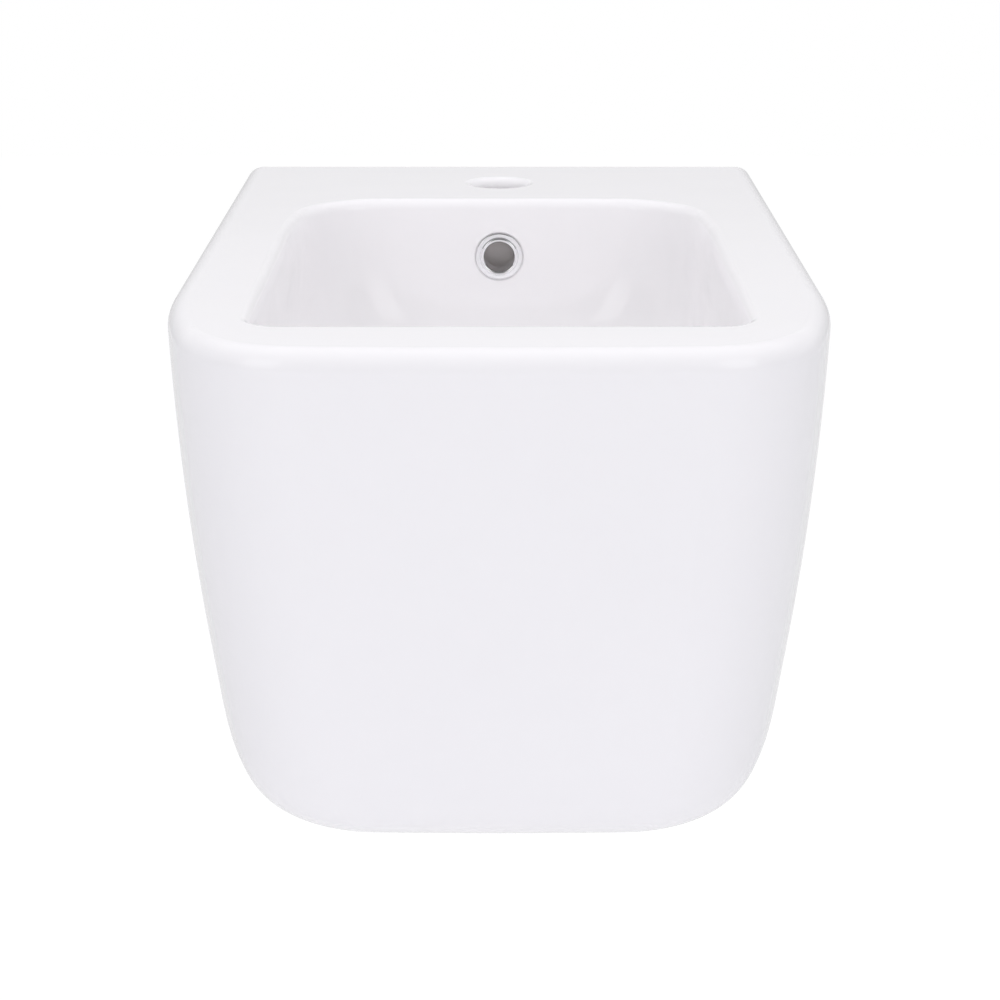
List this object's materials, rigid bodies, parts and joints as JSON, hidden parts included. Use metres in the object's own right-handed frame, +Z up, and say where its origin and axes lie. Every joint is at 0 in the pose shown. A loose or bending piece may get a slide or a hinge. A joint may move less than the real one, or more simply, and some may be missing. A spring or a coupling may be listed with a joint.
{
  "type": "wall-hung bidet",
  "caption": "Wall-hung bidet: hollow glazed china casting with a soft rectangular basin, open tap hole, chromed overflow ring, push-push waste and wall fixing set.",
  "frame": {"origin": "on the wall plane, midway between the two fixing studs", "axes": "+Y into the wall, +Z up, +X to the right for someone who faces the wall"},
  "size_m": [0.3546, 0.6157, 0.305],
  "materials": {
    "glazed_china": "glossy white glaze, unglazed on the ground back",
    "chrome": "polished chrome plate",
    "black_rubber": "matt black rubber",
    "white_plastic": "satin white plastic",
    "brass": "turned brass",
    "steel": "zinc-plated steel"
  },
  "bodies": {
    "bidet": {"ceramic_body": "glazed_china", "overflow_ring": "chrome", "overflow_grip": "black_rubber", "waste_body": "chrome", "waste_flange_seal": "black_rubber", "waste_cone_seal": "black_rubber", "waste_slip_ring": "white_plastic", "waste_back_nut": "brass", "latch_barrel": "brass", "latch_collar": "white_plastic", "plug_spring": "steel", "wall_studs": "steel", "stud_sleeves": "white_plastic", "fixing_washers": "steel", "fixing_nuts": "steel"},
    "plug": {"plug_stem": "brass", "plug_cap": "chrome", "plug_seal": "black_rubber"},
    "rotor": {"latch_rotor": "white_plastic"}
  },
  "joints": [
    {"name": "plug_slide", "type": "slide", "parent": "bidet", "child": "plug", "axis": [0, 0, 1], "range_m": [-0.009, 0], "stiffness_N_per_m": 1200, "springref_m": 0.012, "deforming": ["plug_spring"]},
    {"name": "rotor_turn", "type": "hinge", "parent": "plug", "child": "rotor", "pos_m": [0, -0.262, -0.087], "axis": [0, 0, 1], "range_deg": [0, 45]}
  ],
  "couplings": [
    {"joint": "rotor_turn", "follows": "plug_slide", "rad_per_m": -87.266}
  ]
}
